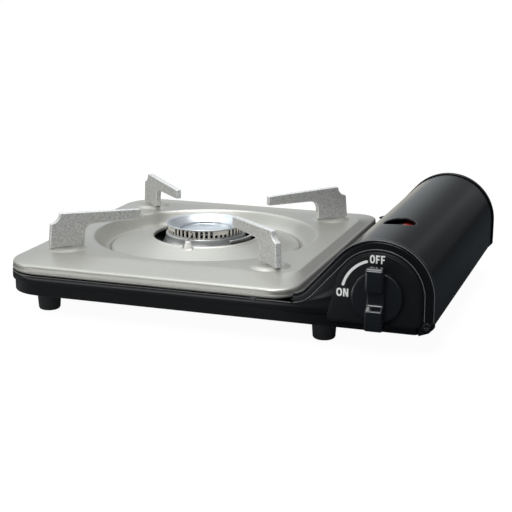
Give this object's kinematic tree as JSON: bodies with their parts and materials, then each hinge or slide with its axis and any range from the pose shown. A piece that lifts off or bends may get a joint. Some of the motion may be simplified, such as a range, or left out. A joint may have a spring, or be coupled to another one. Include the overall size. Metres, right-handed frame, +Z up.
{
  "type": "cassette stove",
  "caption": "Slim portable gas stove: black pan on rubber feet, silver lift-off top plate with pot arms round a slotted burner, and a covered cartridge bay with an igniter knob.",
  "frame": {"origin": "middle of the footprint, on the table under the stove", "axes": "+X towards the gas bay on the right, +Y towards the rear, +Z up; the knob faces -Y"},
  "size_m": [0.344, 0.2858, 0.0849],
  "materials": {
    "pan_black": "satin black enamel",
    "cover_black": "satin black enamel",
    "frame_black": "satin black enamel",
    "plate_silver": "champagne-silver satin metallic enamel",
    "arm_silver": "coarse silver paint on cast arms",
    "burner_alu": "turned and polished",
    "tube_steel": "plated",
    "sheet_steel": "plated sheet",
    "partition_grey": "satin dark grey",
    "heat_alu": "bare sheet",
    "zinc_cast": "die-cast, matt",
    "brass": "turned",
    "screw_steel": "plated",
    "knob_plastic": "glossy black",
    "panel_plastic": "fine-grained black",
    "igniter_plastic": "off-white",
    "plunger_plastic": "red",
    "ceramic": "glazed ceramic",
    "lead_rubber": "silicone-covered wire",
    "foot_rubber": "black",
    "socket_rubber": "black",
    "magnet": "dark sintered",
    "can_paint": "white and red print, plain",
    "can_steel": "tinplate",
    "stem_plastic": "natural"
  },
  "bodies": {
    "base": {"base_tray": "pan_black", "foot_front_left": "foot_rubber", "foot_front_right": "foot_rubber", "foot_rear_left": "foot_rubber", "foot_rear_right": "foot_rubber", "foot_screws": "screw_steel", "front_frame": "frame_black", "rear_frame": "frame_black", "knob_panel": "panel_plastic", "bay_partition": "partition_grey", "cover_catch": "sheet_steel", "hinge_pin_front": "screw_steel", "hinge_pin_rear": "screw_steel", "plate_buffers": "foot_rubber", "burner_bracket": "sheet_steel", "burner_body": "burner_alu", "port_ring": "burner_alu", "burner_cap": "burner_alu", "inner_dish": "burner_alu", "burner_screws": "screw_steel", "mixing_tube": "tube_steel", "gas_jet": "brass", "electrode_bracket": "sheet_steel", "electrode_insulator": "ceramic", "electrode_rod": "screw_steel", "ignition_lead": "lead_rubber", "heat_panel": "heat_alu", "stop_plate": "sheet_steel", "governor_body": "zinc_cast", "regulator_cap": "zinc_cast", "valve_socket": "socket_rubber", "magnet_ring": "magnet", "governor_screws": "screw_steel", "igniter_case": "igniter_plastic"},
    "knob": {"knob": "knob_plastic", "valve_spindle": "brass"},
    "plunger": {"igniter_plunger": "plunger_plastic"},
    "cover": {"cover": "cover_black"},
    "plate": {"top_plate": "plate_silver", "arm_front_left": "arm_silver", "arm_front_right": "arm_silver", "arm_rear_left": "arm_silver", "arm_rear_right": "arm_silver"},
    "cartridge": {"cartridge_can": "can_paint", "cartridge_collar": "can_steel", "cartridge_valve": "stem_plastic"}
  },
  "joints": [
    {"name": "knob_turn", "type": "hinge", "parent": "base", "child": "knob", "pos_m": [0.13185, -0.1275, 0.04476], "axis": [0, -1, 0], "range_deg": [0, 90]},
    {"name": "igniter_push", "type": "slide", "parent": "base", "child": "plunger", "axis": [0, 0, -1], "range_m": [0, 0.004]},
    {"name": "cover_hinge", "type": "hinge", "parent": "base", "child": "cover", "pos_m": [0.167, 0, 0.0251], "axis": [0, 1, 0], "range_deg": [0, 100]},
    {"name": "plate_lift", "type": "slide", "parent": "base", "child": "plate", "axis": [0, 0, 1], "range_m": [0, 0.1]},
    {"name": "cartridge_slide", "type": "slide", "parent": "base", "child": "cartridge", "axis": [0, 1, 0], "range_m": [0, 0.012]}
  ],
  "couplings": [
    {"joint": "igniter_push", "follows": "knob_turn", "m_per_rad": 0.0025465}
  ]
}
